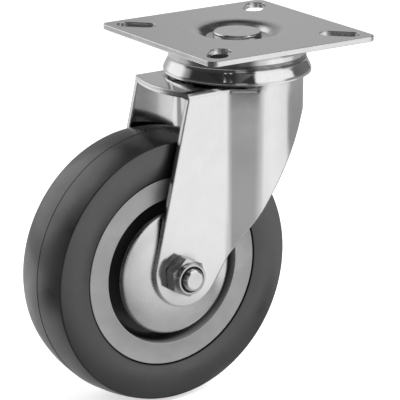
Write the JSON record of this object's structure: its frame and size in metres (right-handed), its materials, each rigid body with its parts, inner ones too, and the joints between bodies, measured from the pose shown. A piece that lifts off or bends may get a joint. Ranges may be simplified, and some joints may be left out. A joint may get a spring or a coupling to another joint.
{
  "type": "swivel castor",
  "caption": "Swivel castor: a slotted square top plate on a double ball race, a pressed steel fork and a rubber-tyred wheel on a roller bearing.",
  "frame": {"origin": "on the swivel axis, in the plane of the face that bolts to the load", "axes": "+Z along the swivel axis, out of the mounting face; the wheel trails towards -X; +Y along the axle, from the nut to the bolt's head"},
  "size_m": [0.1527, 0.09, 0.1652],
  "materials": {
    "plated_sheet": "bright zinc plate on pressed sheet, smooth",
    "plated_disc": "bright zinc plate, satin",
    "plated_fastener": "bright zinc plate",
    "bearing_steel": "ground and greased",
    "insert_nylon": "dark nylon",
    "bearing_nylon": "dark nylon",
    "wheel_centre": "grey moulded polypropylene, satin",
    "tyre_rubber": "dark grey rubber, satin"
  },
  "bodies": {
    "mounting": {"top_plate": "plated_sheet", "upper_race_cup": "plated_sheet", "kingpin": "plated_fastener", "lower_race": "plated_sheet"},
    "upper_ball_set": {"upper_balls": "bearing_steel"},
    "lower_ball_set": {"lower_balls": "bearing_steel"},
    "fork_assembly": {"fork": "plated_sheet", "axle_bolt": "plated_fastener", "axle_nut": "plated_fastener", "nut_insert": "insert_nylon", "axle_tube": "bearing_steel", "thread_guard_near": "plated_disc", "thread_guard_far": "plated_disc"},
    "roller_set": {"bearing_rollers": "bearing_steel", "roller_cage": "bearing_nylon"},
    "wheel": {"wheel_hub": "wheel_centre", "tyre": "tyre_rubber", "bearing_sleeve": "bearing_steel", "end_cap_near": "bearing_nylon", "end_cap_far": "bearing_nylon"}
  },
  "joints": [
    {"name": "swivel", "type": "hinge", "parent": "mounting", "child": "fork_assembly", "pos_m": [0, 0, 0], "axis": [0, 0, 1], "continuous": true},
    {"name": "upper_ball_travel", "type": "hinge", "parent": "mounting", "child": "upper_ball_set", "pos_m": [0, 0, 0], "axis": [0, 0, 1], "continuous": true},
    {"name": "lower_ball_travel", "type": "hinge", "parent": "mounting", "child": "lower_ball_set", "pos_m": [0, 0, 0], "axis": [0, 0, 1], "continuous": true},
    {"name": "wheel_spin", "type": "hinge", "parent": "fork_assembly", "child": "wheel", "pos_m": [-0.045, 0, -0.1025], "axis": [0, 1, 0], "continuous": true},
    {"name": "roller_travel", "type": "hinge", "parent": "fork_assembly", "child": "roller_set", "pos_m": [-0.045, 0, -0.1025], "axis": [0, 1, 0], "continuous": true}
  ],
  "couplings": [
    {"joint": "upper_ball_travel", "follows": "swivel", "ratio": 0.5},
    {"joint": "lower_ball_travel", "follows": "swivel", "ratio": 0.5},
    {"joint": "roller_travel", "follows": "wheel_spin", "ratio": 0.6}
  ]
}
